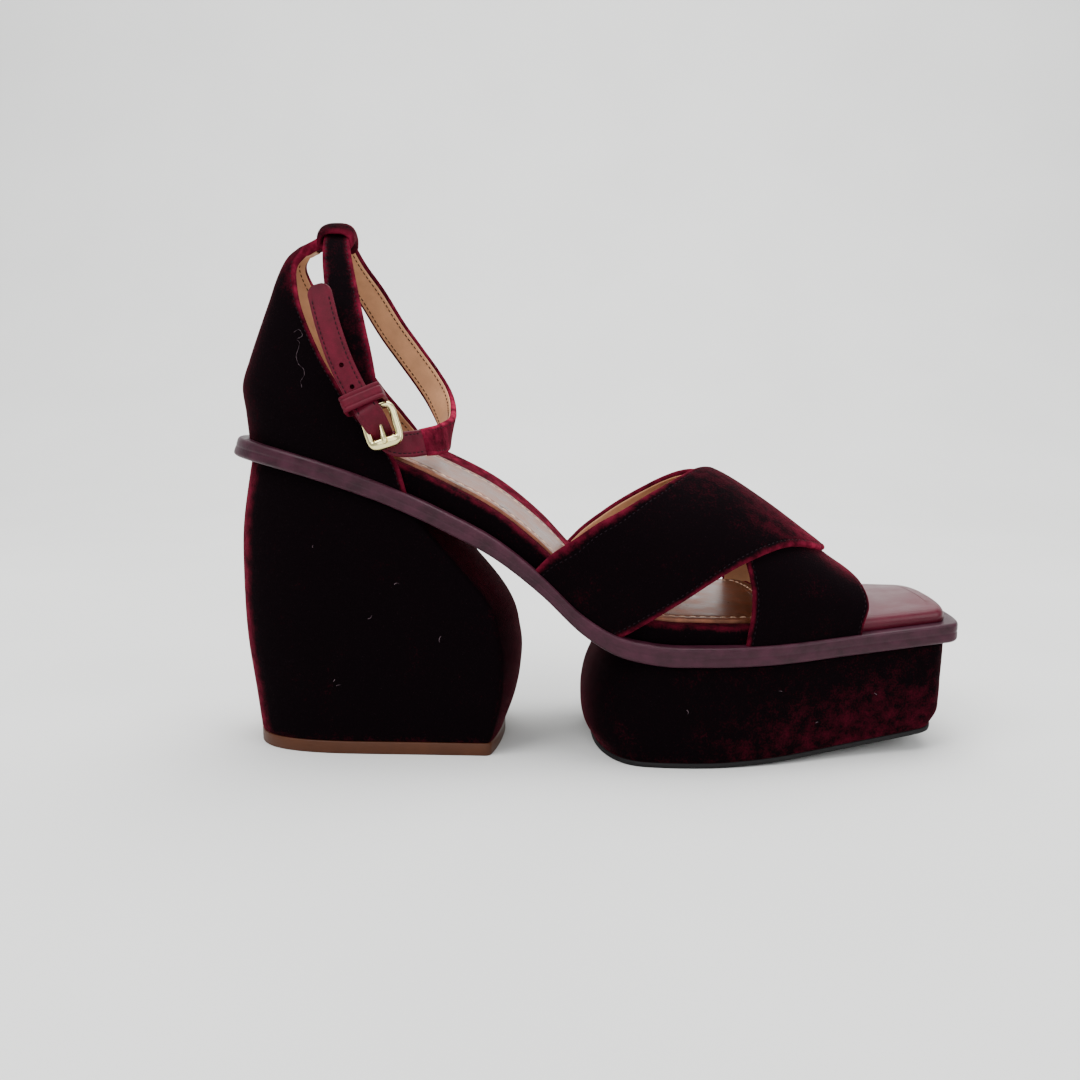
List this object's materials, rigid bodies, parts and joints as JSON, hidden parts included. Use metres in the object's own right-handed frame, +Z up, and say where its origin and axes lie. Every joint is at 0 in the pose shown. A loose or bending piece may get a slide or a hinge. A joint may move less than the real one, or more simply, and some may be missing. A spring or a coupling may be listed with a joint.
{
  "type": "platform sandal",
  "caption": "Women's open-toe platform sandal with a high flared block heel, crossed velvet vamp bands, a closed heel counter and a buckled ankle strap; right foot.",
  "frame": {"origin": "on the floor, under the middle of the sandal's length and of its board's nominal width", "axes": "+X from the heel towards the toe, +Y towards the medial side of the right foot, +Z up"},
  "size_m": [0.2517, 0.0906, 0.1789],
  "materials": {
    "velvet": "dark burgundy velvet, matte",
    "tap": "brown top lift, satin",
    "sole_rubber": "dark rubber, matte",
    "rand_leather": "mauve-burgundy leather, satin",
    "toe_leather": "burgundy leather, satin",
    "sock_leather": "bronze metallic leather",
    "strap_leather": "burgundy leather, satin",
    "pale_gold": "polished pale gold plating"
  },
  "bodies": {
    "root": {"heel_block": "velvet", "heel_tap": "tap", "platform_block": "velvet", "platform_sole": "sole_rubber", "rand": "rand_leather", "footbed": "velvet", "toe_cover": "toe_leather", "sock": "sock_leather", "counter": "velvet", "strap_loop": "velvet", "vamp": "velvet", "ankle_strap": "velvet", "strap_end": "strap_leather", "keeper": "strap_leather", "buckle_frame": "pale_gold", "buckle_prong": "pale_gold"}
  },
  "joints": []
}
